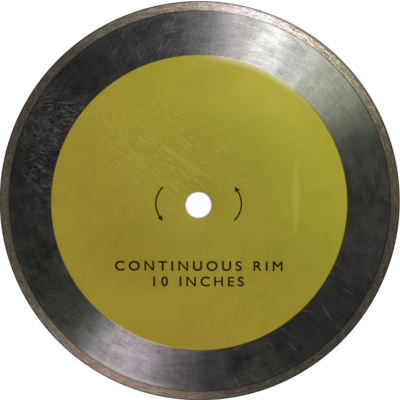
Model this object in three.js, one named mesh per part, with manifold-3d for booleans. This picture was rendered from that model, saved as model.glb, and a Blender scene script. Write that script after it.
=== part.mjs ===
// A continuous-rim diamond blade for cutting tile and stone on a wet saw, as a three.js scene.
//
// A toothed steel disc carries a sintered metal ring. The inner layer of the ring is plain bronze powder, pressed
// in between the teeth of the disc, and the outer layer holds the diamond and does the cutting. A thin label film
// covers the middle of each face, and two arrows in ink on the front label show which way the blade turns.
//
// Units are millimetres. The blade turns about Y, +Z is up, and the printed face looks along -Y. The origin is on
// the axis of the bore, half way through the thickness.
import * as THREE from "three";
import { mergeVertices } from "three/addons/utils/BufferGeometryUtils.js";
import Module from "manifold-3d";

// ---- Driving dimensions ----

const BLADE_DIAMETER = 254;
const CORE_THICKNESS = 1.4;
const SIDE_CLEARANCE = 0.2; // how far the rim stands proud of the core on each face, so that the core runs free
const RIM_HEIGHT = 6; // of the whole sintered ring, from the bare steel out to the cutting edge
const RIM_CHAMFER = 0.25; // on the two outer corners of the rim

const BORE_DIAMETER = 15.875; // 5/8 inch, for the saw's arbor
const BORE_CHAMFER = 0.5;

const BASE_LAYER_HEIGHT = 1.6; // the layer without diamond, which holds the rim to the core
const TOOTH_COUNT = 36; // round the edge of the core
const TOOTH_HEIGHT = 1;
const TOOTH_SHARE = 0.5; // of the pitch that a tooth fills, half way up it
const TOOTH_UNDERCUT = 0.35; // how far each flank leans out from root to tip, which locks the ring on

const LABEL_DIAMETER = 188;
const LABEL_THICKNESS = 0.1;
const LABEL_SETBACK = 0.1; // bare steel between the bore's chamfer and the label

const ARROW_RADIUS = 14.7; // of the curved shaft's centre line
const ARROW_SWEEP = 92; // degrees, with the head
const ARROW_OFFSET = 12.4; // from the bore's axis to the centre of the shaft's curve
const ARROW_RISE = 0.7; // of both arrows above the bore's axis
const ARROW_STROKE = 1;
const ARROW_HEAD_LENGTH = 3.2;
const ARROW_HEAD_WIDTH = 3.4;
const INK_THICKNESS = 0.03;

const SINTER_GAP = 0.05; // left between bonded metal layers, so that no two solids share volume
const FILM_GAP = 0.02; // left under the label and under the ink, for the same reason
const CUT_MARGIN = 1; // how far the boring tool runs past the face that it cuts

// ---- Places and sizes that follow from them ----

const BLADE_RADIUS = BLADE_DIAMETER / 2;
const CORE_RADIUS = BLADE_RADIUS - RIM_HEIGHT; // edge of the bare steel, and root of the teeth
const BASE_LAYER_RADIUS = CORE_RADIUS + BASE_LAYER_HEIGHT;
const BORE_RADIUS = BORE_DIAMETER / 2;
const LABEL_BORE_RADIUS = BORE_RADIUS + BORE_CHAMFER + LABEL_SETBACK;

const CORE_FACE = CORE_THICKNESS / 2; // these are distances from the mid plane
const RIM_FACE = CORE_FACE + SIDE_CLEARANCE;
const LABEL_MIDDLE = CORE_FACE + FILM_GAP + LABEL_THICKNESS / 2;
const INK_MIDDLE = LABEL_MIDDLE + LABEL_THICKNESS / 2 + FILM_GAP + INK_THICKNESS / 2;

const ROUND_STEPS = 4 * TOOTH_COUNT; // facets round the blade, four to each tooth and its gap
const ARROW_STEPS = 16; // facets along an arrow's shaft

const wasm = await Module();
wasm.setup();

// ---- Solids ----

// A closed three.js geometry as a manifold-3d solid.
function toSolid(geometry) {
  const bare = geometry.index ? geometry.toNonIndexed() : geometry.clone();
  bare.deleteAttribute("normal");
  bare.deleteAttribute("uv");
  const merged = mergeVertices(bare, 1e-4);
  const mesh = new wasm.Mesh({
    numProp: 3,
    vertProperties: merged.getAttribute("position").array,
    triVerts: new Uint32Array(merged.index.array),
  });
  return new wasm.Manifold(mesh);
}

// A manifold-3d solid as a three.js geometry with flat faces.
function toGeometry(solid) {
  const mesh = solid.getMesh();
  const indexed = new THREE.BufferGeometry();
  indexed.setAttribute("position", new THREE.BufferAttribute(mesh.vertProperties, 3));
  indexed.setIndex(new THREE.BufferAttribute(mesh.triVerts, 1));
  const geometry = indexed.toNonIndexed();
  geometry.computeVertexNormals();
  return geometry;
}

// A round piece about Y. The section is a list of [radius, y] corners, anticlockwise with the radius to the right.
function turned(section) {
  const points = section.map(([radius, y]) => new THREE.Vector2(radius, y));
  return new THREE.LatheGeometry(points, ROUND_STEPS);
}

// A flat ring about Y, centred on the origin.
function flatRing(innerRadius, outerRadius, thickness) {
  const face = thickness / 2;
  return turned([
    [innerRadius, -face],
    [outerRadius, -face],
    [outerRadius, face],
    [innerRadius, face],
    [innerRadius, -face],
  ]);
}

// A flat plate of that outline, centred on the origin. The outline is drawn in X and Z, as seen from the front.
function plate(outline, thickness) {
  const geometry = new THREE.ExtrudeGeometry(outline, { depth: thickness, bevelEnabled: false });
  geometry.translate(0, 0, -thickness / 2);
  geometry.rotateX(Math.PI / 2);
  return geometry;
}

// ---- Outlines ----

function polar(radius, angle) {
  return new THREE.Vector2(radius * Math.cos(angle), radius * Math.sin(angle));
}

// The toothed edge of the core, grown outwards by a clearance.
function toothedOutline(clearance) {
  const root = CORE_RADIUS + clearance;
  const tip = CORE_RADIUS + TOOTH_HEIGHT + clearance;
  const pitch = (2 * Math.PI) / TOOTH_COUNT;
  const halfTooth = (TOOTH_SHARE * pitch) / 2 + clearance / CORE_RADIUS;
  const lean = TOOTH_UNDERCUT / 2 / CORE_RADIUS;
  const points = [];
  for (let tooth = 0; tooth < TOOTH_COUNT; tooth += 1) {
    const middle = (tooth + 0.5) * pitch;
    points.push(
      polar(root, middle - pitch / 2),
      polar(root, middle - halfTooth + lean),
      polar(tip, middle - halfTooth - lean),
      polar(tip, middle),
      polar(tip, middle + halfTooth + lean),
      polar(root, middle + halfTooth - lean),
    );
  }
  return new THREE.Shape(points);
}

// An arrow that curves anticlockwise from its tail to its tip, about the origin, on the +X side.
function arrowOutline() {
  const halfSweep = THREE.MathUtils.degToRad(ARROW_SWEEP) / 2;
  const neck = halfSweep - ARROW_HEAD_LENGTH / ARROW_RADIUS;
  const outerEdge = [];
  const innerEdge = [];
  for (let step = 0; step <= ARROW_STEPS; step += 1) {
    const angle = THREE.MathUtils.lerp(-halfSweep, neck, step / ARROW_STEPS);
    outerEdge.push(polar(ARROW_RADIUS + ARROW_STROKE / 2, angle));
    innerEdge.unshift(polar(ARROW_RADIUS - ARROW_STROKE / 2, angle));
  }
  const head = [
    polar(ARROW_RADIUS + ARROW_HEAD_WIDTH / 2, neck),
    polar(ARROW_RADIUS, halfSweep),
    polar(ARROW_RADIUS - ARROW_HEAD_WIDTH / 2, neck),
  ];
  return new THREE.Shape([...outerEdge, ...head, ...innerEdge]);
}

// ---- Pieces ----

// The core without its bore, grown by a clearance on every side.
function coreBlank(clearance) {
  return toSolid(plate(toothedOutline(clearance), CORE_THICKNESS + 2 * clearance));
}

// The tool that bores the core and chamfers both edges of the hole.
function boringTool() {
  const land = CORE_FACE - BORE_CHAMFER;
  const past = CORE_FACE + CUT_MARGIN;
  const wide = BORE_RADIUS + BORE_CHAMFER + CUT_MARGIN;
  const profile = [
    [0, -past],
    [wide, -past],
    [BORE_RADIUS, -land],
    [BORE_RADIUS, land],
    [wide, past],
    [0, past],
  ];
  return toSolid(turned(profile));
}

function steelCore() {
  return toGeometry(coreBlank(0).subtract(boringTool()));
}

function rimBaseLayer() {
  const ring = toSolid(flatRing(CORE_RADIUS, BASE_LAYER_RADIUS, 2 * RIM_FACE));
  return toGeometry(ring.subtract(coreBlank(SINTER_GAP)));
}

function diamondRim() {
  const inner = BASE_LAYER_RADIUS + SINTER_GAP;
  return turned([
    [inner, -RIM_FACE],
    [BLADE_RADIUS - RIM_CHAMFER, -RIM_FACE],
    [BLADE_RADIUS, RIM_CHAMFER - RIM_FACE],
    [BLADE_RADIUS, RIM_FACE - RIM_CHAMFER],
    [BLADE_RADIUS - RIM_CHAMFER, RIM_FACE],
    [inner, RIM_FACE],
    [inner, -RIM_FACE],
  ]);
}

function labelFilm() {
  return flatRing(LABEL_BORE_RADIUS, LABEL_DIAMETER / 2, LABEL_THICKNESS);
}

function arrowInk() {
  return plate(arrowOutline(), INK_THICKNESS);
}

// ---- Materials ----

function finish(color, roughness, metalness) {
  return new THREE.MeshStandardMaterial({ color, roughness, metalness });
}

const groundSteel = finish(0x8b8c8b, 0.32, 1);
const plainBronze = finish(0x8f7b66, 0.5, 1);
const diamondBronze = finish(0x7d6c58, 0.62, 1);
const yellowFilm = finish(0x9a8f30, 0.45, 0);
const blackInk = finish(0x1c180c, 0.6, 0);

// ---- Assembly ----

const blade = new THREE.Group();

// Adds a named piece to the blade and returns its mesh, for the pieces that are then set in place.
function addPiece(name, geometry, material) {
  const piece = new THREE.Mesh(geometry, material);
  piece.name = name;
  blade.add(piece);
  return piece;
}

addPiece("steel_core", steelCore(), groundSteel);
addPiece("rim_base_layer", rimBaseLayer(), plainBronze);
addPiece("diamond_rim", diamondRim(), diamondBronze);
addPiece("front_label", labelFilm(), yellowFilm).position.y = -LABEL_MIDDLE;
addPiece("back_label", labelFilm(), yellowFilm).position.y = LABEL_MIDDLE;

const rightArrow = addPiece("right_arrow", arrowInk(), blackInk);
rightArrow.position.set(ARROW_OFFSET, -INK_MIDDLE, ARROW_RISE);

// The left arrow is the right one turned half way round.
const leftArrow = addPiece("left_arrow", arrowInk(), blackInk);
leftArrow.position.set(-ARROW_OFFSET, -INK_MIDDLE, ARROW_RISE);
leftArrow.rotation.y = Math.PI;

export default blade;
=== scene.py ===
"""A continuous-rim diamond blade, finished for the camera.

Each operator below models and paints one piece of the blade, or one kind of piece, in the frame that the CAD
gives. The blade turns about Y, +Z is up, and the printed face looks along -Y. Lengths are in metres.
"""

import functools
import math
import random

import bmesh
import bpy
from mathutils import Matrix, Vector


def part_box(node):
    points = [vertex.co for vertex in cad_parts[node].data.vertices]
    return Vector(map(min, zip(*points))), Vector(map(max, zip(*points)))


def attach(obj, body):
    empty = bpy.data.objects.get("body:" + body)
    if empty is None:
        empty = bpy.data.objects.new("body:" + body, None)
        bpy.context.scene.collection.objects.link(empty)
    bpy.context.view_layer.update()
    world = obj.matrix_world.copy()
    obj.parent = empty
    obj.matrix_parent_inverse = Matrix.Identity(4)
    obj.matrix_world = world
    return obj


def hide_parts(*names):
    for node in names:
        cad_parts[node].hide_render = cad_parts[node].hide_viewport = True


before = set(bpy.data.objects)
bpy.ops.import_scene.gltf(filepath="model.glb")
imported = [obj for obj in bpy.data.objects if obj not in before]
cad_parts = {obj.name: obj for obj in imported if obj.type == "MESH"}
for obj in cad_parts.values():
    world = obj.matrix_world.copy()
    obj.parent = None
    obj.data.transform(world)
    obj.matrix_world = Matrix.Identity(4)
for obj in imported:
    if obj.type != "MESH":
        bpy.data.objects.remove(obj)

bl_info = {
    "name": "Diamond blade",
    "version": (1, 0, 0),
    "blender": (4, 5, 0),
    "location": "3D View > Sidebar > Blade",
    "description": "Models and paints a continuous-rim diamond blade for a wet saw",
    "category": "Add Mesh",
}

MM = 0.001
HAIR = 0.001 * MM  # points that are closer than this are in the same place
FULL_TURN = 2 * math.pi
ORIGIN = (0, 0, 0)
BLADE_AXIS = (0, 1, 0)
PLAIN_STEPS = 720  # round the core, the base layer and the labels
RIM_STEPS = 1440  # round the rim, whose surface is rough
GRIT_SECTORS = 16  # a power of two, because the grit is doubled until it goes all the way round
GRIT_SEED = 7


def radii(node):
    """The nearest and the furthest that a CAD node comes to the blade's axis."""
    reach = [math.hypot(v.co.x, v.co.z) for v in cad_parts[node].data.vertices]
    return min(reach), max(reach)


def length(label, about, default):
    return bpy.props.FloatProperty(
        name=label, description=about, default=default, min=0, unit="LENGTH", precision=5
    )


def angle(label, about, degrees):
    return bpy.props.FloatProperty(
        name=label, description=about, default=math.radians(degrees), unit="ROTATION", subtype="ANGLE"
    )


def colour(label, about, default):
    return bpy.props.FloatVectorProperty(
        name=label, description=about, default=default, size=3, min=0, max=1, subtype="COLOR"
    )


class BladeSizes(bpy.types.PropertyGroup):
    """The sizes of the blade's pieces. The ones that the CAD settles are read from its frame."""

    bore_radius: length("Bore radius", "Radius of the hole for the arbor", radii("steel_core")[0])
    bore_chamfer: length("Bore chamfer", "Leg of the chamfer on both edges of the bore", 0.5 * MM)
    core_radius: length("Core radius", "Radius of the bare steel disc", radii("rim_base_layer")[0])
    core_face: length("Core face", "Half the core's thickness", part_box("steel_core")[1].y)
    base_radius: length("Base layer radius", "Radius where the diamond starts", radii("rim_base_layer")[1])
    rim_radius: length("Rim radius", "Radius of the cutting edge", radii("diamond_rim")[1])
    rim_face: length("Rim face", "Half the rim's thickness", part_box("diamond_rim")[1].y)
    rim_rounding: length("Rim rounding", "Radius on the two outer corners of the rim", 0.3 * MM)
    rim_wear: length("Rim wear", "How far the rim's metal lies below the tips of its crystals", 0.07 * MM)
    groove: length("Groove", "Leg of the chamfers that meet where the core joins the rim", 0.14 * MM)
    tooth_height: length("Tooth height", "Height of the core's teeth, inside the rim", 1 * MM)
    tooth_count: bpy.props.IntProperty(
        name="Tooth count", description="Teeth round the core", default=36, min=3
    )
    label_radius: length("Label radius", "Outer radius of the label", radii("front_label")[1])
    label_bore: length("Label bore", "Radius of the hole in the label", radii("front_label")[0])
    label_edge: length("Label edge", "Rounding of the label film's edges", 0.03 * MM)
    arrow_radius: length("Arrow radius", "Radius of the arrows' curved shafts", 14.7 * MM)
    arrow_sweep: angle("Arrow sweep", "Angle that an arrow turns through, with its head", 92)
    arrow_offset: length("Arrow offset", "From the bore's axis to the centre of a shaft's curve", 12.4 * MM)
    arrow_rise: length("Arrow rise", "Height of the arrows' middle above the bore's axis", 0.7 * MM)
    arrow_stroke: length("Arrow stroke", "Width of an arrow's shaft", 1 * MM)
    arrow_head_length: length("Arrow head length", "Length of an arrow's head", 3.2 * MM)
    arrow_head_width: length("Arrow head width", "Width of an arrow's head", 3.4 * MM)
    letter_height: length("Letter height", "Height of the capitals", 6.5 * MM)
    letter_spacing: bpy.props.FloatProperty(
        name="Letter spacing", description="From letter to letter, as a share of the usual", default=1.45
    )
    letter_weight: bpy.props.FloatProperty(
        name="Letter weight",
        description="How far a stroke's sides are pushed out, in letter sizes",
        default=0.033,
    )
    upper_row_width: length("Upper row width", "Width of the first row of lettering", 107 * MM)
    lower_row_width: length("Lower row width", "Width of the second row of lettering", 58 * MM)
    first_row_drop: length("First row", "From the axis down to the middle of the first row", 39 * MM)
    second_row_drop: length("Second row", "From the axis down to the middle of the second row", 49 * MM)
    grit_size: length("Grit size", "Size of a diamond crystal across", 0.34 * MM)
    grit_count: bpy.props.IntProperty(
        name="Grit count", description="Crystals in a sixteenth of the rim", default=150, min=1
    )


class BladeColours(bpy.types.PropertyGroup):
    """The colours of the blade's finishes, as linear light."""

    steel: colour("Ground steel", "The bare steel of the core", (0.26, 0.261, 0.242))
    warm_lit_steel: colour("Pink steel", "The bare steel where the light on it is warmer", (0.272, 0.246, 0.262))
    # Also the colour of the painted glint beside the joint.
    scratched_and_glint_steel: colour("Scuffed steel", "The steel where it is scratched", (0.60, 0.60, 0.57))
    # A fresh cut is bright, and the rest of this near white is painted highlight, so that the chamfer blends
    # with the white seen through the bore.
    bright_painted_chamfer: colour("Cut steel", "The fresh chamfer of the bore", (0.98, 0.95, 0.84))
    joint_shadow: colour("Joint shadow", "The dark line where the steel meets the rim", (0.03, 0.025, 0.02))
    bronze: colour("Bronze", "The sintered metal of the rim", (0.30, 0.25, 0.19))
    # Painted warm light on the lower left of the rim, not a redder metal.
    warm_lit_bronze: colour("Copper", "The redder metal on one side of the rim", (0.43, 0.25, 0.215))
    pale_bronze: colour("Pale bronze", "The bright grains in the rim", (0.66, 0.58, 0.45))
    # Painted highlight, where the light falls on the upper right of the rim.
    highlight_bronze: colour("Silvery bronze", "The rim where it is rubbed bright", (0.53, 0.51, 0.53))
    # Also the painted shade on the rim's outer corners.
    dark_bronze: colour("Dark bronze", "The pores and the worn outer edge of the rim", (0.075, 0.055, 0.05))
    yellow: colour("Label yellow", "The label film", (0.515, 0.455, 0.042))
    warm_yellow: colour("Warm yellow", "The label film where it is more orange", (0.62, 0.478, 0.054))
    rubbed_yellow: colour("Rubbed yellow", "The wipe marks and the smudge on the label", (0.80, 0.72, 0.16))
    stained_yellow: colour("Stained yellow", "The faint stain on the label", (0.30, 0.20, 0.03))
    film_outline: colour("Film outline", "The dark line round the label's edges", (0.09, 0.06, 0.015))
    film_glare: colour("Film glare", "The pale edge of the label beside the bright steel", (0.92, 0.88, 0.55))
    ink: colour("Ink", "The arrows and the lettering", (0.022, 0.013, 0.002))
    diamond: colour("Diamond", "The crystals in the rim", (0.62, 0.58, 0.44))
    floor: colour("Floor", "The floor, where the blade reflects it", (0.5, 0.5, 0.5))


def sizes():
    return bpy.context.scene.blade_sizes


def colours():
    return bpy.context.scene.blade_colours


# ---- Modelling ----


def start_with(add, name, **place):
    """Adds a primitive with nothing else selected, and names it."""
    bpy.ops.object.select_all(action="DESELECT")
    add(**place)
    piece = bpy.context.object
    name_it(piece, name)
    return piece


def name_it(piece, name):
    piece.name = name
    piece.data.name = name


def settle():
    """Puts the place, turn and size of what is selected into its mesh."""
    bpy.ops.object.transform_apply(location=True, rotation=True, scale=True)


def edit_open():
    bpy.ops.object.mode_set(mode="EDIT")
    bpy.ops.mesh.select_mode(type="VERT")


def edit_close():
    bpy.ops.object.mode_set(mode="OBJECT")


def pick(piece, kind, test):
    """Selects the open mesh's verts, edges or faces for which the test holds, and nothing else."""
    bpy.ops.mesh.select_all(action="DESELECT")
    mesh = bmesh.from_edit_mesh(piece.data)
    for item in getattr(mesh, kind):
        if test(item):
            item.select_set(True)
    bmesh.update_edit_mesh(piece.data)


def section(name, inner, outer, low, high):
    """Opens the cross-section of a turned piece for editing: a rectangle of radius by Y."""
    piece = start_with(
        bpy.ops.mesh.primitive_plane_add, name, size=1, location=((inner + outer) / 2, (low + high) / 2, 0)
    )
    piece.scale = (outer - inner, high - low, 1)
    settle()
    edit_open()
    return piece


def bevel_corners(piece, test, leg, segments=1):
    pick(piece, "verts", test)
    bpy.ops.mesh.bevel(affect="VERTICES", offset=leg, segments=segments)


def cut_edges(piece, test, cuts):
    bpy.ops.mesh.select_mode(type="EDGE")
    pick(piece, "edges", test)
    bpy.ops.mesh.subdivide(number_cuts=cuts)
    bpy.ops.mesh.select_mode(type="VERT")


def turn(piece, steps):
    """Turns the outline of the open section once round the blade's axis, into a closed ring."""
    bpy.ops.mesh.select_mode(type="EDGE")
    pick(piece, "edges", lambda e: len(e.link_faces) == 2)
    bpy.ops.mesh.delete(type="EDGE")
    bpy.ops.mesh.select_all(action="SELECT")
    bpy.ops.mesh.delete(type="ONLY_FACE")
    edit_close()
    apply_modifier(piece, "SCREW", axis="Y", angle=FULL_TURN, steps=steps, render_steps=steps)
    edit_open()
    close_seams()


def close_seams():
    bpy.ops.mesh.select_all(action="SELECT")
    bpy.ops.mesh.remove_doubles(threshold=HAIR)
    bpy.ops.mesh.normals_make_consistent(inside=False)


def push_teeth(piece, wall_radius, height, half_depth):
    """Pushes the wall at that radius outwards at each tooth, between -half_depth and half_depth."""
    pitch = FULL_TURN / sizes().tooth_count

    def is_tooth(face):
        """Whether the face is on the wall, in the middle half of a tooth's pitch."""
        middle = face.calc_center_median()
        at_radius = abs(math.hypot(middle.x, middle.z) - wall_radius) < 10 * HAIR
        upright = abs(face.normal.y) < 0.1
        share = (math.atan2(middle.z, middle.x) % pitch) / pitch
        return at_radius and upright and abs(middle.y) < half_depth and 0.25 < share < 0.75

    bpy.ops.mesh.select_mode(type="FACE")
    pick(piece, "faces", is_tooth)
    bpy.ops.mesh.extrude_region_move()
    grow = (wall_radius + height) / wall_radius
    bpy.ops.transform.resize(value=(grow, 1, grow), center_override=ORIGIN)


def smooth_by_angle(piece, degrees=30):
    bpy.ops.object.select_all(action="DESELECT")
    piece.select_set(True)
    bpy.context.view_layer.objects.active = piece
    bpy.ops.object.shade_smooth_by_angle(angle=math.radians(degrees))


def apply_modifier(piece, kind, **settings):
    bpy.context.view_layer.objects.active = piece
    modifier = piece.modifiers.new(kind.title(), kind)
    for key, value in settings.items():
        setattr(modifier, key, value)
    bpy.ops.object.modifier_apply(modifier=modifier.name)


def finish_piece(piece, material, slot, *nodes):
    """Paints a piece and ties it to the frame."""
    piece.data.materials.clear()
    piece.data.materials.append(material)
    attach(piece, "root")
    if nodes:
        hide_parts(*nodes)


# ---- Node building ----

VALUE = "NodeSocketFloat"
VECTOR = "NodeSocketVector"


class Nodes:
    """A short way to add nodes to a tree and wire them."""

    def __init__(self, tree):
        self.tree = tree

    def add(self, kind, inputs=None, **settings):
        node = self.tree.nodes.new(kind)
        for key, value in settings.items():
            setattr(node, key, value)
        for key, value in (inputs or {}).items():
            self.feed(node.inputs[key], value)
        return node

    def feed(self, socket, value):
        if isinstance(value, bpy.types.NodeSocket):
            self.tree.links.new(value, socket)
        else:
            socket.default_value = value

    def math(self, operation, a, b=0.0, c=0.0):
        return self.add("ShaderNodeMath", {0: a, 1: b, 2: c}, operation=operation).outputs[0]

    def times(self, a, b):
        return self.math("MULTIPLY", a, b)

    def weighted(self, *parts):
        """The sum of pairs of a value and its weight."""
        total = 0.0
        for value, weight in parts:
            total = self.math("MULTIPLY_ADD", value, weight, total)
        return total

    def highest(self, first, *others):
        total = first
        for value in others:
            total = self.math("MAXIMUM", total, value)
        return total

    def weakened(self, value, mask, share):
        """The value, less that share of it where the mask is 1."""
        return self.times(value, self.math("MULTIPLY_ADD", mask, -share, 1.0))

    def ramp(self, value, low, high, to_low=0.0, to_high=1.0):
        """The value, smoothly taken from low..high to to_low..to_high."""
        inputs = {"Value": value, "From Min": low, "From Max": high, "To Min": to_low, "To Max": to_high}
        node = self.add("ShaderNodeMapRange", inputs, interpolation_type="SMOOTHSTEP")
        return node.outputs["Result"]

    def vector_math(self, operation, a, b=(0.0, 0.0, 0.0), result="Vector"):
        return self.add("ShaderNodeVectorMath", {0: a, 1: b}, operation=operation).outputs[result]

    def scaled(self, vector, factor):
        inputs = {0: vector, "Scale": factor}
        return self.add("ShaderNodeVectorMath", inputs, operation="SCALE").outputs["Vector"]

    def turned(self, flat, angle):
        inputs = {"Vector": flat, "Angle": angle}
        return self.add("ShaderNodeVectorRotate", inputs, rotation_type="Z_AXIS").outputs[0]

    def vector(self, x=0.0, y=0.0, z=0.0):
        return self.add("ShaderNodeCombineXYZ", {"X": x, "Y": y, "Z": z}).outputs[0]

    def apart(self, vector):
        return self.add("ShaderNodeSeparateXYZ", {0: vector}).outputs

    def place(self):
        """Object coordinates."""
        return self.add("ShaderNodeTexCoord").outputs["Object"]

    def place_in_mm(self):
        return self.scaled(self.place(), 1 / MM)

    def noise(self, vector, scale, detail=2.0, roughness=0.5, result="Fac"):
        inputs = {"Vector": vector, "Scale": scale, "Detail": detail, "Roughness": roughness}
        return self.add("ShaderNodeTexNoise", inputs).outputs[result]

    def mix(self, factor, a, b, blend="MIX"):
        inputs = {"Factor": factor, 6: a, 7: b}
        return self.add("ShaderNodeMix", inputs, data_type="RGBA", blend_type=blend).outputs[2]

    def bump(self, height, strength, distance):
        inputs = {"Height": height, "Strength": strength, "Distance": distance}
        return self.add("ShaderNodeBump", inputs).outputs[0]

    def group(self, tree, inputs=None):
        return self.add("ShaderNodeGroup", inputs, node_tree=tree).outputs


def new_group(name, inputs, outputs):
    """A shader node group that takes numbers, the sockets that it is given, and the sockets that it fills."""
    tree = bpy.data.node_groups.new(name, "ShaderNodeTree")
    for label, default in inputs.items():
        socket = tree.interface.new_socket(label, in_out="INPUT", socket_type=VALUE)
        socket.default_value = default
    for label, kind in outputs.items():
        tree.interface.new_socket(label, in_out="OUTPUT", socket_type=kind)
    nodes = Nodes(tree)
    return nodes, nodes.add("NodeGroupInput").outputs, nodes.add("NodeGroupOutput").inputs


def on_the_face(nodes, given):
    """Object coordinates in mm, from the centre that a group is given, as X and Z in a flat vector."""
    place = nodes.apart(nodes.place_in_mm())
    right = nodes.math("SUBTRACT", place["X"], given["X"])
    up = nodes.math("SUBTRACT", place["Z"], given["Z"])
    return nodes.vector(right, up)


@functools.cache
def polar_group():
    """How far a point is from a centre, in mm, and a seamless vector for noise that follows the turning."""
    inputs = {"X": 0.0, "Z": 0.0, "Around": 1.0, "Across": 1.0}
    nodes, given, out = new_group("Turned", inputs, {"Radius": VALUE, "Vector": VECTOR})
    flat = on_the_face(nodes, given)
    radius = nodes.vector_math("LENGTH", flat, result="Value")
    way = nodes.scaled(nodes.vector_math("NORMALIZE", flat), given["Around"])
    lift = nodes.vector(z=nodes.times(radius, given["Across"]))
    nodes.feed(out["Radius"], radius)
    nodes.feed(out["Vector"], nodes.vector_math("ADD", way, lift))
    return nodes.tree


@functools.cache
def patch_group():
    """A ragged soft oval about a place on the face, in mm: 1 in its middle and 0 outside."""
    inputs = {"X": 0.0, "Z": 0.0, "Width": 20.0, "Height": 20.0, "Slant": 0.0, "Ragged": 0.5}
    nodes, given, out = new_group("Soft patch", inputs, {"Mask": VALUE})
    place = nodes.apart(nodes.turned(on_the_face(nodes, given), given["Slant"]))
    right = nodes.math("DIVIDE", place["X"], given["Width"])
    up = nodes.math("DIVIDE", place["Y"], given["Height"])
    reach = nodes.vector_math("LENGTH", nodes.vector(right, up), result="Value")
    drift = nodes.math("SUBTRACT", nodes.noise(nodes.place_in_mm(), 0.09, 3.0, 0.6), 0.5)
    ragged = nodes.math("MULTIPLY_ADD", drift, given["Ragged"], reach)
    nodes.feed(out["Mask"], nodes.ramp(ragged, 0.5, 0.12))
    return nodes.tree


@functools.cache
def hairline_group():
    """Fine straight scratches: thin spindles scattered at one slant, in mm."""
    inputs = {
        "X": 0.0,
        "Z": 0.0,
        "Slant": 0.0,
        "Length": 60.0,
        "Spacing": 1.5,
        "Thinness": 0.15,
        "Share": 0.5,
        "Wander": 2.0,
    }
    nodes, given, out = new_group("Hairlines", inputs, {"Mask": VALUE})
    drift = nodes.noise(nodes.place_in_mm(), 0.03, 1.0, result="Color")
    bend = nodes.scaled(nodes.vector_math("SUBTRACT", drift, (0.5, 0.5, 0.5)), given["Wander"])
    bent = nodes.vector_math("ADD", on_the_face(nodes, given), bend)
    place = nodes.apart(nodes.turned(bent, given["Slant"]))
    along = nodes.math("DIVIDE", place["X"], given["Length"])
    across = nodes.math("DIVIDE", place["Y"], given["Spacing"])
    grid = {"Vector": nodes.vector(along, across), "Scale": 1.0}
    cells = nodes.add("ShaderNodeTexVoronoi", grid, voronoi_dimensions="2D").outputs
    draw = nodes.add("ShaderNodeSeparateColor", {0: cells["Color"]}).outputs
    kept = nodes.math("LESS_THAN", draw[0], given["Share"])
    line = nodes.ramp(nodes.math("DIVIDE", cells["Distance"], given["Thinness"]), 1.0, 0.0)
    depth = nodes.ramp(draw[1], 0.0, 1.0, 0.35, 1.0)
    nodes.feed(out["Mask"], nodes.times(nodes.times(line, kept), depth))
    return nodes.tree


@functools.cache
def swirl_group():
    """Fine broken arcs round a centre, such as a sanding pad or a wiping cloth leaves."""
    inputs = {"X": 0.0, "Z": 0.0, "Around": 6.0, "Across": 1.2, "Cover": 0.5}
    nodes, given, out = new_group("Swirls", inputs, {"Mask": VALUE})
    passed_on = {key: given[key] for key in ("X", "Z", "Around", "Across")}
    arcs = nodes.noise(nodes.group(polar_group(), passed_on)["Vector"], 1.0, 2.0, 0.6)
    edge = nodes.math("MULTIPLY_ADD", given["Cover"], -0.25, 0.68)
    nodes.feed(out["Mask"], nodes.ramp(nodes.math("SUBTRACT", arcs, edge), 0.0, 0.07))
    return nodes.tree


def new_material(name):
    """A material with only its output and a Principled shader, its nodes, and what feeds its shader."""
    material = bpy.data.materials.new(name)
    material.use_nodes = True
    nodes = Nodes(material.node_tree)
    shader = material.node_tree.nodes["Principled BSDF"]

    def shade(socket, value):
        nodes.feed(shader.inputs[socket], value)

    return material, nodes, shade


def opaque(colour):
    return (*colour, 1)


# ---- Finishes ----


def turning_gloss(nodes, shade, stretch):
    """Stretches the highlight across grooves that run round the blade's axis."""
    quarter_turn = 0.25
    shade("Anisotropic", stretch)
    shade("Anisotropic Rotation", quarter_turn)
    tangent = nodes.add("ShaderNodeTangent", direction_type="RADIAL", axis="Y")
    shade("Tangent", tangent.outputs[0])


def rings(nodes, around, across, detail, roughness):
    """Noise that follows the turning of the blade, and the distance from the blade's axis in mm."""
    turned = nodes.group(polar_group(), {"Around": around, "Across": across})
    return nodes.noise(turned["Vector"], 1.0, detail, roughness), turned["Radius"]


def soft_oval(nodes, x, z, width, height, slant=0.0, ragged=0.5):
    """A soft patch on the face, in mm. Its width is turned clockwise from X by the slant, in radians."""
    oval = {"X": x, "Z": z, "Width": width, "Height": height, "Slant": slant, "Ragged": ragged}
    return nodes.group(patch_group(), oval)["Mask"]


def uneven(nodes, places):
    """How much lighter or darker than 1 the surface is, from soft ovals.

    An oval has X, Z, width and height in mm, the angle in degrees that its width lies at, and a gain.
    """
    total = 1.0
    for x, z, width, height, degrees, gain in places:
        mask = soft_oval(nodes, x, z, width, height, -math.radians(degrees), 0.3)
        total = nodes.math("MULTIPLY_ADD", mask, gain, total)
    return total


def hairlines(nodes, degrees, **settings):
    return nodes.group(hairline_group(), {"Slant": -math.radians(degrees), **settings})["Mask"]


def swirls(nodes, **settings):
    return nodes.group(swirl_group(), settings)["Mask"]


def marks_in(nodes, patch, marks, strength):
    """The marks, where a patch lets them through, at a strength."""
    return nodes.times(nodes.times(nodes.highest(*marks), patch), strength)


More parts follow.
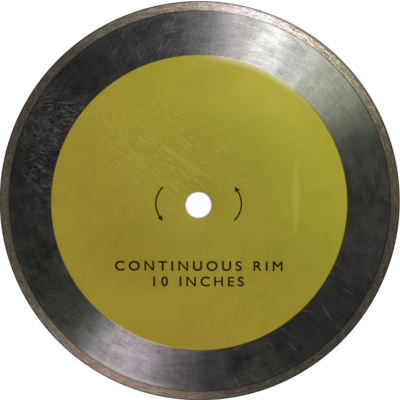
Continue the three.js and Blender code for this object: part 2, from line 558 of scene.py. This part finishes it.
def steel_scratches(nodes):
    """Where the steel is scratched, by how much."""
    hatch = [
        hairlines(nodes, 63, Length=50.0, Spacing=0.95, Thinness=0.2, Share=0.9, Wander=4.0),
        hairlines(nodes, 74, Length=45.0, Spacing=1.2, Thinness=0.17, Share=0.9, Wander=3.0, X=9.0),
        hairlines(nodes, 118, Length=50.0, Spacing=1.9, Thinness=0.12, Share=0.6, X=7.0),
        hairlines(nodes, 14, Length=60.0, Spacing=1.9, Thinness=0.12, Share=0.6, X=3.0),
    ]
    scuffs = [
        swirls(nodes, X=-60.0, Z=80.0, Around=7.0, Across=1.9, Cover=0.42),
        swirls(nodes, X=-88.0, Z=-30.0, Around=8.0, Across=1.7, Cover=0.3),
        hairlines(nodes, 35, Length=60.0, Spacing=2.2, Thinness=0.1, Share=0.8, Wander=14.0),
        hairlines(nodes, -20, Length=70.0, Spacing=2.6, Thinness=0.09, Share=0.7, Wander=14.0, Z=5.0),
        hairlines(nodes, 80, Length=50.0, Spacing=2.6, Thinness=0.09, Share=0.7, Wander=14.0, Z=9.0),
    ]
    arcs = [
        swirls(nodes, X=-88.0, Z=33.0, Around=3.0, Across=1.6, Cover=0.4),
        swirls(nodes, X=-80.0, Z=22.0, Around=3.5, Across=1.5, Cover=0.35),
    ]
    slashes = [
        hairlines(nodes, -33, Length=260.0, Spacing=5.5, Thinness=0.06, Share=1.0, Wander=1.5, X=33.0, Z=4.0),
        hairlines(nodes, -60, Length=220.0, Spacing=6.5, Thinness=0.05, Share=1.0, Wander=1.5, X=13.0),
        hairlines(nodes, -12, Length=110.0, Spacing=3.8, Thinness=0.075, Share=0.8, Wander=9.0, Z=7.0),
        hairlines(nodes, -38, Length=80.0, Spacing=3.0, Thinness=0.09, Share=0.8, Wander=9.0),
    ]
    upper = soft_oval(nodes, -21, 106, 110, 90)
    left = soft_oval(nodes, -93, 36, 66, 120)
    arched = soft_oval(nodes, -90, 56, 64, 40, -0.5)
    left_soft = soft_oval(nodes, -92, 0, 90, 220)
    lower_right = soft_oval(nodes, 72, -76, 240, 140, -0.7)
    right = soft_oval(nodes, 106, -8, 60, 110)
    whole_disc = soft_oval(nodes, 0, 0, 700, 700)
    return nodes.highest(
        marks_in(nodes, upper, hatch, 0.6),
        marks_in(nodes, left, scuffs, 0.36),
        marks_in(nodes, arched, arcs, 0.36),
        marks_in(nodes, left_soft, scuffs, 0.14),
        marks_in(nodes, lower_right, slashes, 0.46),
        marks_in(nodes, right, slashes, 0.4),
        marks_in(nodes, whole_disc, slashes + hatch, 0.09),
    )


# Painted light and shade on the steel: soft ovals that lighten it where its highlights fall and darken it
# where it lies in shade.
STEEL_PAINTED_LIGHT = (
    (-52, -98, 66, 60, 0, 0.55),
    (-90, -62, 100, 100, 0, -0.7),
    (-106, -26, 50, 50, 0, -0.35),
    (-98, 42, 80, 80, 0, -0.25),
    (-76, 76, 60, 60, 0, -0.32),
    (85, -75, 200, 150, 0, -0.6),
    (8, -108, 80, 60, 0, -0.4),
    (112, 5, 70, 80, 0, 0.55),
    (76, 76, 80, 70, 0, 0.25),
    (40, 98, 90, 60, 0, -0.14),
    (43, 98, 120, 24, 66, 0.2),
)


def ground_steel():
    """Steel ground in rings, so that its highlights fan out from the bore."""
    material, nodes, shade = new_material("Ground steel")
    given = colours()
    core_edge = sizes().core_radius / MM
    label_bore = sizes().label_bore / MM
    scratch_and_glint = opaque(given.scratched_and_glint_steel)

    fine_rings, radius = rings(nodes, 10.0, 1.0, 4.0, 0.75)
    broad_rings, _ = rings(nodes, 8.0, 0.2, 3.0, 0.6)
    rays, _ = rings(nodes, 14.0, 0.03, 3.0, 0.6)
    stipple = nodes.noise(nodes.place(), 1.1 / MM, 2.0, 0.6)
    grain = nodes.weighted((broad_rings, 0.14), (fine_rings, 0.34), (stipple, 0.26), (rays, 0.26))
    # The steel's tone is its grain in rings, times the painted light and shade of the table of ovals above.
    tone = nodes.times(nodes.ramp(grain, 0.38, 0.62, 0.70, 1.28), uneven(nodes, STEEL_PAINTED_LIGHT))
    # Painted warm light: the steel turns pinker on the lower left, where the warmer light of its highlight
    # falls.
    warm_light_on_steel = soft_oval(nodes, -40, -99, 130, 80)
    tinted = nodes.mix(warm_light_on_steel, opaque(given.steel), opaque(given.warm_lit_steel))
    plain = nodes.mix(1.0, tinted, tone, "MULTIPLY")

    # Painted highlight: a pale glint beside the joint, in the lower left highlight fan, in the same pale
    # colour as the scratches.
    low_fan = soft_oval(nodes, -44, -110, 90, 60, 0.4)
    by_joint = nodes.ramp(radius, core_edge - 4.0, core_edge - 1.5, 0.0, 0.4)
    glinting = nodes.mix(nodes.times(low_fan, by_joint), plain, scratch_and_glint)
    scratches = steel_scratches(nodes)
    scratched = nodes.mix(scratches, glinting, scratch_and_glint)
    # Painted highlight: the bore's chamfer is near white and not metal, so that it blends with the white seen
    # through the bore.
    chamfer = nodes.ramp(radius, label_bore + 0.1, label_bore - 0.1)
    chamfered = nodes.mix(chamfer, scratched, opaque(given.bright_painted_chamfer))
    lit_side = soft_oval(nodes, 46, 110, 170, 70, 0.4)
    joint_line = nodes.ramp(radius, core_edge - 0.45, core_edge - 0.1, 0.0, 0.75)
    joint = nodes.weakened(joint_line, lit_side, 0.75)
    shade("Base Color", nodes.mix(joint, chamfered, opaque(given.joint_shadow)))

    lifted = nodes.highest(scratches, chamfer)
    shade("Metallic", nodes.math("SUBTRACT", 1.0, lifted))
    shade("Roughness", nodes.ramp(broad_rings, 0.3, 0.7, 0.38, 0.46))
    turning_gloss(nodes, shade, 0.95)
    relief = nodes.math("MULTIPLY_ADD", scratches, -0.5, fine_rings)
    shade("Normal", nodes.bump(relief, 0.04, 0.05 * MM))
    return material


# Painted light and shade on the rim: soft ovals that lighten it where its highlights fall and darken it where
# it lies in shade.
RIM_PAINTED_LIGHT = (
    (-8, 126, 120, 60, 0, 0.62),
    (-52, 114, 90, 60, 0, 0.55),
    (-124, 8, 60, 60, 0, 0.25),
    (85, -85, 200, 150, 0, -0.48),
    (123, -30, 60, 80, 0, -0.25),
    (26, -124, 80, 50, 0, -0.2),
    (-112, -58, 60, 90, 0, -0.15),
    (-55, -114, 100, 60, 0, 0.3),
)


def sintered_bronze(name="Sintered bronze", coarseness=1.0):
    """The rim's metal: pressed powder with bright grains in rings round the blade; painted light, and painted
    shade on its corners.
    """
    material, nodes, shade = new_material(name)
    s = sizes()
    given = colours()
    core_edge = s.core_radius / MM
    rim_edge = s.rim_radius / MM
    dark = opaque(given.dark_bronze)

    grit, radius = rings(nodes, 85.0, 1.9, 3.0, 0.65)
    streaks, _ = rings(nodes, 20.0, 1.3, 2.0, 0.5)
    grain = nodes.weighted((grit, 0.55), (streaks, 0.45))
    grain_strength = 0.4 + 0.5 * coarseness
    bright_grains = nodes.times(nodes.ramp(grain, 0.515, 0.60), grain_strength)
    pores = nodes.times(nodes.ramp(grain, 0.47, 0.37), grain_strength)
    speckled = nodes.mix(bright_grains, opaque(given.bronze), opaque(given.pale_bronze))
    pitted = nodes.mix(pores, speckled, dark)
    # The rim's grains, times the painted light and shade of the table of ovals above.
    rim_with_painted_light = nodes.mix(1.0, pitted, uneven(nodes, RIM_PAINTED_LIGHT), "MULTIPLY")
    # Painted warm light: the rim turns redder on the lower left, where the warmer light of its highlight
    # falls.
    warm_light_on_rim = soft_oval(nodes, -60, -115, 170, 110)
    warmed = nodes.mix(nodes.times(warm_light_on_rim, 0.45), rim_with_painted_light, opaque(given.warm_lit_bronze))
    # Painted highlight: the upper right of the rim is made pale and silvery where its highlight falls, and
    # the joint line fades there.
    painted_light = soft_oval(nodes, 29, 123, 92, 60, 0.24)
    highlighted = nodes.mix(nodes.times(painted_light, 0.5), warmed, opaque(given.highlight_bronze))

    # Painted shade: the outer corners are darkened, as by the dark that they reflect, deepest in the in_shade
    # oval, but the cutting edge between them isn't.
    ragged = nodes.math("MULTIPLY_ADD", grit, 0.5, radius)
    thin_band = nodes.ramp(ragged, rim_edge - 0.9, rim_edge - 0.3, 0.0, 0.9)
    deep_band = nodes.ramp(ragged, rim_edge - 1.7, rim_edge - 0.7, 0.0, 0.85)
    in_shade = soft_oval(nodes, 80, 92, 230, 90, 0.8)
    band = nodes.highest(thin_band, nodes.times(in_shade, deep_band))
    place = nodes.place()
    off_middle = nodes.math("ABSOLUTE", nodes.apart(place)["Y"])
    corner = s.rim_face - s.rim_rounding
    outer_line = nodes.times(band, nodes.ramp(off_middle, corner - 0.15 * MM, corner))
    joint_line = nodes.ramp(radius, core_edge + 0.45, core_edge + 0.1, 0.0, 0.6)
    inner_line = nodes.weakened(joint_line, painted_light, 0.8)
    lines = nodes.highest(outer_line, inner_line)
    shade("Base Color", nodes.mix(lines, highlighted, dark))

    shade("Metallic", nodes.ramp(grain, 0.35, 0.6, 0.66, 0.88))
    shade("Roughness", nodes.ramp(grit, 0.3, 0.7, 0.5, 0.4))
    turning_gloss(nodes, shade, 0.9)
    powder = nodes.noise(place, 3.0 / MM, 2.0, 0.6)
    relief = nodes.math("MULTIPLY_ADD", powder, 0.5, grit)
    shade("Normal", nodes.bump(relief, 0.3 * coarseness, 0.12 * MM))
    return material


LABEL_SHADING = (
    (-4, 2, 230, 220, 0, -0.13),
    (-30, -22, 120, 90, 30, -0.09),
    (-50, -72, 90, 70, 0, 0.06),
    (64, -50, 110, 110, 0, -0.09),
    (-74, 24, 70, 90, 0, -0.07),
)


def label_film():
    """Yellow print over brushed metal, satin, with the swirls and smudges of handling."""
    material, nodes, shade = new_material("Yellow label")
    given = colours()
    film_edge = sizes().label_radius / MM
    film_bore = sizes().label_bore / MM
    rubbed_yellow = opaque(given.rubbed_yellow)

    place = nodes.place()
    apart = nodes.apart(place)
    across = nodes.math("MULTIPLY_ADD", apart["Z"], 0.8, apart["X"])
    warm = nodes.ramp(across, 95 * MM, -95 * MM)
    warmer = nodes.mix(warm, opaque(given.yellow), opaque(given.warm_yellow))
    mottle = nodes.noise(place, 0.03 / MM, 3.0, 0.55)
    shading = nodes.times(nodes.ramp(mottle, 0.3, 0.7, 0.985, 1.015), uneven(nodes, LABEL_SHADING))
    toned = nodes.mix(1.0, warmer, shading, "MULTIPLY")

    swirled = [
        swirls(nodes, X=-75.0, Z=-45.0, Around=9.0, Across=1.1, Cover=0.5),
        swirls(nodes, X=20.0, Z=80.0, Around=9.0, Across=1.1, Cover=0.45),
    ]
    wiped = [
        hairlines(nodes, -32, Length=70.0, Spacing=2.6, Thinness=0.12, Share=0.6, Wander=14.0),
        hairlines(nodes, 84, Length=50.0, Spacing=3.2, Thinness=0.11, Share=0.6, Wander=9.0),
        hairlines(nodes, 20, Length=50.0, Spacing=3.2, Thinness=0.11, Share=0.7, Wander=10.0, X=8.0),
    ]
    upper_left = soft_oval(nodes, -20, 32, 180, 110, 0.3)
    whole_film = soft_oval(nodes, 0, 0, 400, 400)
    marks = nodes.highest(
        marks_in(nodes, upper_left, swirled + wiped, 0.24), marks_in(nodes, whole_film, wiped, 0.05)
    )
    marked = nodes.mix(marks, toned, rubbed_yellow)
    smudge = soft_oval(nodes, 61.5, 3, 7, 62, ragged=0.4)
    smudged = nodes.mix(nodes.times(smudge, 0.22), marked, rubbed_yellow)
    stain = soft_oval(nodes, 6, 79, 60, 26, ragged=0.6)
    stained = nodes.mix(nodes.times(stain, 0.12), smudged, opaque(given.stained_yellow))

    radius = nodes.group(polar_group())["Radius"]
    edge_line = nodes.ramp(radius, film_edge - 0.5, film_edge - 0.2, 0.0, 0.7)
    bore_line = nodes.ramp(radius, film_bore + 0.5, film_bore + 0.1, 0.0, 0.35)
    outline = nodes.highest(edge_line, bore_line)
    outlined = nodes.mix(outline, stained, opaque(given.film_outline))
    lit_side = soft_oval(nodes, 36, 86, 100, 46, 0.4)
    low_side = soft_oval(nodes, -39, -86, 64, 34, 0.43)
    near_edge = nodes.ramp(radius, film_edge - 5.0, film_edge - 0.4, 0.0, 0.5)
    at_edge = nodes.ramp(radius, film_edge - 1.5, film_edge - 0.3, 0.0, 0.95)
    wide_glare = nodes.times(lit_side, nodes.highest(near_edge, at_edge))
    glare = nodes.highest(wide_glare, nodes.times(low_side, at_edge))
    shade("Base Color", nodes.mix(glare, outlined, opaque(given.film_glare)))

    satin = nodes.ramp(mottle, 0.3, 0.7, 0.41, 0.46)
    shade("Roughness", nodes.math("MULTIPLY_ADD", marks, 0.3, satin))
    shade("Metallic", 0.04)
    shade("Specular IOR Level", 0.06)
    grain = nodes.noise(place, 1.6 / MM, 2.0, 0.5)
    shade("Normal", nodes.bump(nodes.math("SUBTRACT", grain, marks), 0.05, 0.05 * MM))
    return material


@functools.cache
def printed_ink():
    """Dark brown screen ink, a little thin in places."""
    material, nodes, shade = new_material("Printed ink")
    speck = nodes.noise(nodes.place(), 1.4 / MM, 3.0, 0.6)
    thin = nodes.ramp(speck, 0.55, 0.8, 0.0, 0.25)
    colour_mix = nodes.mix(thin, opaque(colours().ink), opaque(colours().warm_yellow))
    shade("Base Color", colour_mix)
    shade("Roughness", nodes.ramp(speck, 0.3, 0.7, 0.45, 0.6))
    shade("Specular IOR Level", 0.08)
    shade("Normal", nodes.bump(speck, 0.1, 0.05 * MM))
    return material


def diamond_crystal():
    """Synthetic diamond: yellowish, cloudy and glassy."""
    material, nodes, shade = new_material("Diamond crystal")
    tint = nodes.noise(nodes.place(), 0.8 / MM, 1.0)
    pale = opaque(colours().diamond)
    deep = opaque(channel * 0.45 for channel in colours().diamond)
    shade("Base Color", nodes.mix(nodes.ramp(tint, 0.4, 0.6), deep, pale))
    shade("Roughness", nodes.ramp(tint, 0.3, 0.7, 0.18, 0.4))
    shade("IOR", 2.4)
    return material


# ---- Pieces ----


class BLADE_OT_core(bpy.types.Operator):
    """Turn the ground steel core, with its chamfered bore and the teeth that the rim is sintered onto"""

    bl_idname = "blade.core"
    bl_label = "Steel core"

    def execute(self, context):
        s = sizes()
        piece = section("ground_core", s.bore_radius, s.core_radius, -s.core_face, s.core_face)
        middle = (s.bore_radius + s.core_radius) / 2
        bevel_corners(piece, lambda v: v.co.x < middle, s.bore_chamfer)
        bevel_corners(piece, lambda v: v.co.x > middle, s.groove)
        turn(piece, PLAIN_STEPS)
        push_teeth(piece, s.core_radius, s.tooth_height, s.core_face)
        edit_close()
        smooth_by_angle(piece)
        finish_piece(piece, ground_steel(), "core_steel", "steel_core")
        return {"FINISHED"}


class BLADE_OT_base_layer(bpy.types.Operator):
    """Turn the layer of plain bronze that holds the rim to the core's teeth"""

    bl_idname = "blade.base_layer"
    bl_label = "Base layer"

    def execute(self, context):
        s = sizes()
        piece = section("bond_layer", s.core_radius, s.base_radius, -s.rim_face, s.rim_face)
        bevel_corners(piece, lambda v: v.co.x < s.core_radius + 0.1 * MM, s.groove / 2)
        # The inner wall gets two cuts, which are then moved to the teeth's depth.
        half_depth = s.core_face - s.groove
        cut_edges(piece, lambda e: all(v.co.x < s.core_radius + HAIR for v in e.verts), 2)
        wall = s.rim_face - s.groove / 2
        pick(piece, "verts", lambda v: v.co.x < s.core_radius + HAIR and abs(v.co.y) < wall / 2)
        bpy.ops.transform.resize(value=(1, half_depth / (wall / 3), 1), center_override=ORIGIN)
        turn(piece, PLAIN_STEPS)
        push_teeth(piece, s.core_radius, s.tooth_height, half_depth)
        edit_close()
        smooth_by_angle(piece)
        finish_piece(piece, sintered_bronze("Plain bronze", 0.6), "base_bond", "rim_base_layer")
        return {"FINISHED"}


class BLADE_OT_rim(bpy.types.Operator):
    """Turn the diamond-bearing rim and roughen its surface"""

    bl_idname = "blade.rim"
    bl_label = "Diamond rim"

    def execute(self, context):
        s = sizes()
        edge, face = s.rim_radius - s.rim_wear, s.rim_face - s.rim_wear
        long = 1 * MM
        piece = section("cutting_rim", s.base_radius, edge, -face, face)
        bevel_corners(piece, lambda v: v.co.x > edge - 0.1 * MM, s.rim_rounding, 3)
        # The faces and the edge are cut up, so that the roughness has points to move.
        cut_edges(piece, lambda e: abs(e.verts[0].co.x - e.verts[1].co.x) > long, 8)
        cut_edges(piece, lambda e: abs(e.verts[0].co.y - e.verts[1].co.y) > long, 4)
        turn(piece, RIM_STEPS)
        edit_close()
        clouds = bpy.data.textures.new("Sintered surface", "CLOUDS")
        clouds.noise_scale = 1.1 * MM
        clouds.noise_depth = 2
        inwards_only = 1.0
        apply_modifier(piece, "DISPLACE", texture=clouds, strength=0.05 * MM, mid_level=inwards_only)
        smooth_by_angle(piece, 40)
        finish_piece(piece, sintered_bronze(), "diamond_bond", "diamond_rim")
        return {"FINISHED"}


class BLADE_OT_grit(bpy.types.Operator):
    """Set diamond crystals into the rim's faces and edge, a sixteenth of the way round at a time"""

    bl_idname = "blade.grit"
    bl_label = "Diamond grit"

    def execute(self, context):
        s = sizes()
        draw = random.Random(GRIT_SEED)
        side = 0.8 * s.grit_size
        cut_corner = 0.3 * s.grit_size
        crystal = start_with(bpy.ops.mesh.primitive_cube_add, "diamond_grit", size=side)
        edit_open()
        bpy.ops.mesh.select_all(action="SELECT")
        bpy.ops.mesh.bevel(affect="VERTICES", offset=cut_corner)
        edit_close()
        cluster = [crystal]
        for _ in range(s.grit_count - 1):
            bpy.ops.object.duplicate(linked=False)
            cluster.append(bpy.context.object)
        for each in cluster:
            self.place(each, draw)
        for each in cluster:
            each.select_set(True)
        settle()
        bpy.context.view_layer.objects.active = crystal
        bpy.ops.object.join()
        edit_open()
        turned = FULL_TURN / GRIT_SECTORS
        while turned < 0.9 * FULL_TURN:
            bpy.ops.mesh.select_all(action="SELECT")
            bpy.ops.mesh.duplicate()
            bpy.ops.transform.rotate(value=turned, orient_axis="Y", center_override=ORIGIN)
            turned *= 2
        edit_close()
        finish_piece(crystal, diamond_crystal(), "diamond_bond")
        return {"FINISHED"}

    def place(self, crystal, draw):
        """Sinks one crystal into a face or the edge, at a place and a turn drawn at random."""
        s = sizes()
        metal_radius, metal_face = s.rim_radius - s.rim_wear, s.rim_face - s.rim_wear
        on_edge = 0.28  # the share of the crystals that are in the cutting edge
        scale = draw.uniform(0.7, 1.0)
        reach = 0.58 * s.grit_size * scale  # from a crystal's middle to its furthest corner
        around = draw.uniform(0, FULL_TURN / GRIT_SECTORS)
        proud = draw.uniform(0.3, 0.95) * s.rim_wear
        if draw.random() < on_edge:
            radius = metal_radius + proud - reach
            depth = draw.uniform(-1, 1) * (metal_face - s.rim_rounding)
        else:
            radius = draw.uniform(s.base_radius + reach, metal_radius - s.rim_rounding)
            depth = draw.choice((-1, 1)) * (metal_face + proud - reach)
        crystal.location = (radius * math.cos(around), depth, radius * math.sin(around))
        crystal.rotation_euler = [draw.uniform(0, FULL_TURN) for _ in range(3)]
        crystal.scale = (scale, scale, scale)


class BLADE_OT_labels(bpy.types.Operator):
    """Lay the yellow label film on both faces of the core"""

    bl_idname = "blade.labels"
    bl_label = "Labels"

    def execute(self, context):
        s = sizes()
        film = label_film()
        for node, name in (("front_label", "yellow_film_front"), ("back_label", "yellow_film_back")):
            low, high = (corner.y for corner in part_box(node))
            top = low if node == "front_label" else high
            piece = section(name, s.label_bore, s.label_radius, low, high)
            bevel_corners(piece, lambda v: abs(v.co.y - top) < HAIR, s.label_edge, 2)
            turn(piece, PLAIN_STEPS)
            edit_close()
            smooth_by_angle(piece)
            finish_piece(piece, film, "label_yellow", node)
        return {"FINISHED"}


class BLADE_OT_arrows(bpy.types.Operator):
    """Print the two arrows that show which way the blade turns"""

    bl_idname = "blade.arrows"
    bl_label = "Arrows"

    def execute(self, context):
        s = sizes()
        low, high = (corner.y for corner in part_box("right_arrow"))
        half = s.arrow_stroke / 2
        right = section("arrow_right", s.arrow_radius - half, s.arrow_radius + half, low, high)
        neck = s.arrow_sweep / 2 - s.arrow_head_length / s.arrow_radius
        bpy.ops.mesh.select_all(action="SELECT")
        bpy.ops.mesh.spin(steps=48, angle=-neck - s.arrow_sweep / 2, center=ORIGIN, axis=BLADE_AXIS)
        close_seams()
        self.add_head(right)
        edit_close()
        right.rotation_euler = (0, -neck, 0)
        right.location = (s.arrow_offset, 0, s.arrow_rise)
        settle()
        bpy.ops.object.duplicate(linked=False)
        left = context.object
        name_it(left, "arrow_left")
        left.rotation_euler = (0, math.pi, 0)
        left.location = (0, 0, 2 * s.arrow_rise)
        settle()
        finish_piece(right, printed_ink(), "print_ink", "right_arrow")
        finish_piece(left, printed_ink(), "print_ink", "left_arrow")
        return {"FINISHED"}

    def add_head(self, piece):
        """Draws the arrow's head out of the end of its shaft that lies on the X axis."""
        s = sizes()
        middle = (s.arrow_radius, 0, 0)
        barbs = s.arrow_head_width / s.arrow_stroke
        tip = 0.06  # as a share of the head's width
        bpy.ops.mesh.select_mode(type="FACE")
        pick(piece, "faces", lambda f: f.normal.z > 0.9 and f.calc_center_median().z > -10 * HAIR)
        bpy.ops.mesh.extrude_region_move()
        bpy.ops.transform.resize(value=(barbs, 1, 1), center_override=middle)
        bpy.ops.mesh.extrude_region_move(TRANSFORM_OT_translate={"value": (0, 0, s.arrow_head_length)})
        bpy.ops.transform.resize(value=(tip, 1, 1), center_override=middle)
        close_seams()


class BLADE_OT_lettering(bpy.types.Operator):
    """Print two plain rows of capitals under the bore"""

    bl_idname = "blade.lettering"
    bl_label = "Lettering"

    def execute(self, context):
        s = sizes()
        rows = (
            ("lettering_upper", "CONTINUOUS RIM", s.upper_row_width, s.first_row_drop),
            ("lettering_lower", "10 INCHES", s.lower_row_width, s.second_row_drop),
        )
        low, high = (corner.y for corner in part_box("right_arrow"))
        for name, words, width, drop in rows:
            piece = start_with(bpy.ops.object.text_add, name, rotation=(math.pi / 2, 0, 0))
            piece.data.resolution_u = 8
            piece.data.body = words
            piece.data.align_x = "CENTER"
            piece.data.space_character = s.letter_spacing
            piece.data.extrude = 0.1  # for now: the row is brought to its real size below
            bpy.ops.object.convert(target="MESH")
            settle()
            edit_open()
            close_seams()
            edit_close()
            apply_modifier(piece, "DISPLACE", strength=s.letter_weight, mid_level=0)
            across, depth, tall = piece.dimensions
            piece.scale = (width / across, (high - low) / depth, s.letter_height / tall)
            settle()
            lowest, highest = self.span(piece)
            piece.location = Vector((0, (low + high) / 2, -drop)) - (lowest + highest) / 2
            settle()
            finish_piece(piece, printed_ink(), "print_ink")
        return {"FINISHED"}

    def span(self, piece):
        """The lowest and the highest corner of a mesh."""
        places = [v.co for v in piece.data.vertices]
        return [Vector([pick_end(p[axis] for p in places) for axis in range(3)]) for pick_end in (min, max)]


# ---- Stage ----

# Each light on the faces has a name, an angle round the axis in degrees, a colour, and a power in watts.
FACE_LIGHTS = (
    ("cool", 36, (0.89, 1.0, 0.72), 0.43),
    ("key", 60, (0.97, 0.97, 1.0), 1.12),
    ("warm", 72, (0.98, 0.925, 1.0), 0.98),
)
FACE_LEAN = 30  # degrees away from the axis
EDGE_LIGHTS = (("right", 0), ("left", 180))
EDGE_LEAN = 90
EDGE_POWER = 0.7
EDGE_LIGHT_SIZE = 0.02
LIGHT_SIZE = 0.15
LIGHT_DISTANCE = 0.65
WHITE = (1.0, 1.0, 1.0)
NEAR_DARK = (0.01, 0.01, 0.01)  # what the blade sees all round, apart from the lights

FLOOR_SIZE = 6
FLOOR_GLOW = 0.985
FLOOR_SHADOWS = (0.15, 0.15, 0.15)  # how much of the lights' own light the floor takes

CAMERA_LENS = 56.7
CAMERA_SENSOR = 36
CAMERA_TURN = math.radians(1.2)
CAMERA_CLIMB = math.radians(4.3)
CAMERA_DISTANCE = 0.4
CAMERA_AIM = (0.9 * MM, 0, 3.1 * MM)


class BLADE_OT_stage(bpy.types.Operator):
    """Set out the floor, the lights and the camera"""

    bl_idname = "blade.stage"
    bl_label = "Stage"

    def execute(self, context):
        scene = context.scene
        scene.view_settings.view_transform = "Standard"
        self.add_floor()
        self.add_surroundings(scene)
        for face, side in (("front", -1), ("back", 1)):
            for name, around, tint, power in FACE_LIGHTS:
                self.add_light(f"{face} {name}", side, around, FACE_LEAN, tint, power)
        for name, around in EDGE_LIGHTS:
            self.add_light(f"{name} edge", 1, around, EDGE_LEAN, WHITE, EDGE_POWER, EDGE_LIGHT_SIZE)
        self.add_camera(scene)
        return {"FINISHED"}

    def add_floor(self):
        """Lays a floor that glows pale to the camera, and that the blade sees as plain grey."""
        under = (0, 0, -sizes().rim_radius)
        floor = start_with(bpy.ops.mesh.primitive_plane_add, "floor", size=FLOOR_SIZE, location=under)
        material, nodes, shade = new_material("Pale floor")
        shade("Base Color", opaque(colours().floor))
        shade("Roughness", 0.9)
        glow = nodes.add("ShaderNodeEmission", {"Color": opaque(WHITE), "Strength": FLOOR_GLOW})
        shade = nodes.add("ShaderNodeBsdfDiffuse", {"Color": opaque(FLOOR_SHADOWS)})
        lit = nodes.add("ShaderNodeAddShader", {0: glow.outputs[0], 1: shade.outputs[0]})
        seen = nodes.add("ShaderNodeLightPath").outputs["Is Camera Ray"]
        plain = material.node_tree.nodes["Principled BSDF"]
        both = nodes.add("ShaderNodeMixShader", {0: seen, 1: plain.outputs[0], 2: lit.outputs[0]})
        out = material.node_tree.nodes["Material Output"]
        nodes.feed(out.inputs["Surface"], both.outputs[0])
        floor.data.materials.append(material)

    def add_surroundings(self, scene):
        """Surrounds the blade with white to the camera, and with near darkness to the blade."""
        world = bpy.data.worlds.new("Studio")
        world.use_nodes = True
        nodes = Nodes(world.node_tree)
        around = world.node_tree.nodes["Background"]
        seen = nodes.add("ShaderNodeLightPath").outputs["Is Camera Ray"]
        nodes.feed(around.inputs["Color"], nodes.mix(seen, opaque(NEAR_DARK), opaque(WHITE)))
        scene.world = world

    def add_light(self, name, side, around, lean, tint, power, size=LIGHT_SIZE):
        """Aims a disc light at the bore, from an angle round the axis and a lean away from it, in degrees."""
        around, lean = math.radians(around), math.radians(lean)
        out = math.sin(lean)
        way = Vector((out * math.cos(around), side * math.cos(lean), out * math.sin(around)))
        light = bpy.data.lights.new(name, "AREA")
        light.shape = "DISK"
        light.size = size
        light.color = tint
        light.energy = power
        lamp = bpy.data.objects.new(name, light)
        bpy.context.scene.collection.objects.link(lamp)
        lamp.location = LIGHT_DISTANCE * way
        lamp.rotation_euler = (-way).to_track_quat("-Z", "Y").to_euler()

    def add_camera(self, scene):
        camera = bpy.data.objects.new("camera", bpy.data.cameras.new("camera"))
        scene.collection.objects.link(camera)
        camera.data.lens = CAMERA_LENS
        camera.data.sensor_width = CAMERA_SENSOR
        level = math.cos(CAMERA_CLIMB)
        back = Vector((math.sin(CAMERA_TURN) * level, -math.cos(CAMERA_TURN) * level, math.sin(CAMERA_CLIMB)))
        camera.location = back * CAMERA_DISTANCE
        aim = Vector(CAMERA_AIM)
        camera.rotation_euler = (aim - camera.location).to_track_quat("-Z", "Y").to_euler()
        scene.camera = camera


class BLADE_PT_build(bpy.types.Panel):
    """The blade's sizes, its colours and the steps that build it"""

    bl_idname = "BLADE_PT_build"
    bl_label = "Diamond blade"
    bl_space_type = "VIEW_3D"
    bl_region_type = "UI"
    bl_category = "Blade"

    def draw(self, context):
        for step in STEPS:
            self.layout.operator(step.bl_idname)
        for title, group in (("Sizes", sizes()), ("Colours", colours())):
            self.layout.label(text=title)
            for name in group.bl_rna.properties.keys():
                if name not in ("rna_type", "name"):
                    self.layout.prop(group, name)


STEPS = (
    BLADE_OT_core,
    BLADE_OT_base_layer,
    BLADE_OT_rim,
    BLADE_OT_grit,
    BLADE_OT_labels,
    BLADE_OT_arrows,
    BLADE_OT_lettering,
    BLADE_OT_stage,
)
CLASSES = (BladeSizes, BladeColours, *STEPS, BLADE_PT_build)


def register():
    for each in CLASSES:
        bpy.utils.register_class(each)
    bpy.types.Scene.blade_sizes = bpy.props.PointerProperty(type=BladeSizes)
    bpy.types.Scene.blade_colours = bpy.props.PointerProperty(type=BladeColours)


def unregister():
    del bpy.types.Scene.blade_colours
    del bpy.types.Scene.blade_sizes
    for each in reversed(CLASSES):
        bpy.utils.unregister_class(each)


def main():
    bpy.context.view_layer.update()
    register()
    bpy.ops.blade.core()
    bpy.ops.blade.base_layer()
    bpy.ops.blade.rim()
    bpy.ops.blade.grit()
    bpy.ops.blade.labels()
    bpy.ops.blade.arrows()
    bpy.ops.blade.lettering()
    bpy.ops.blade.stage()


if __name__ == "__main__":
    main()
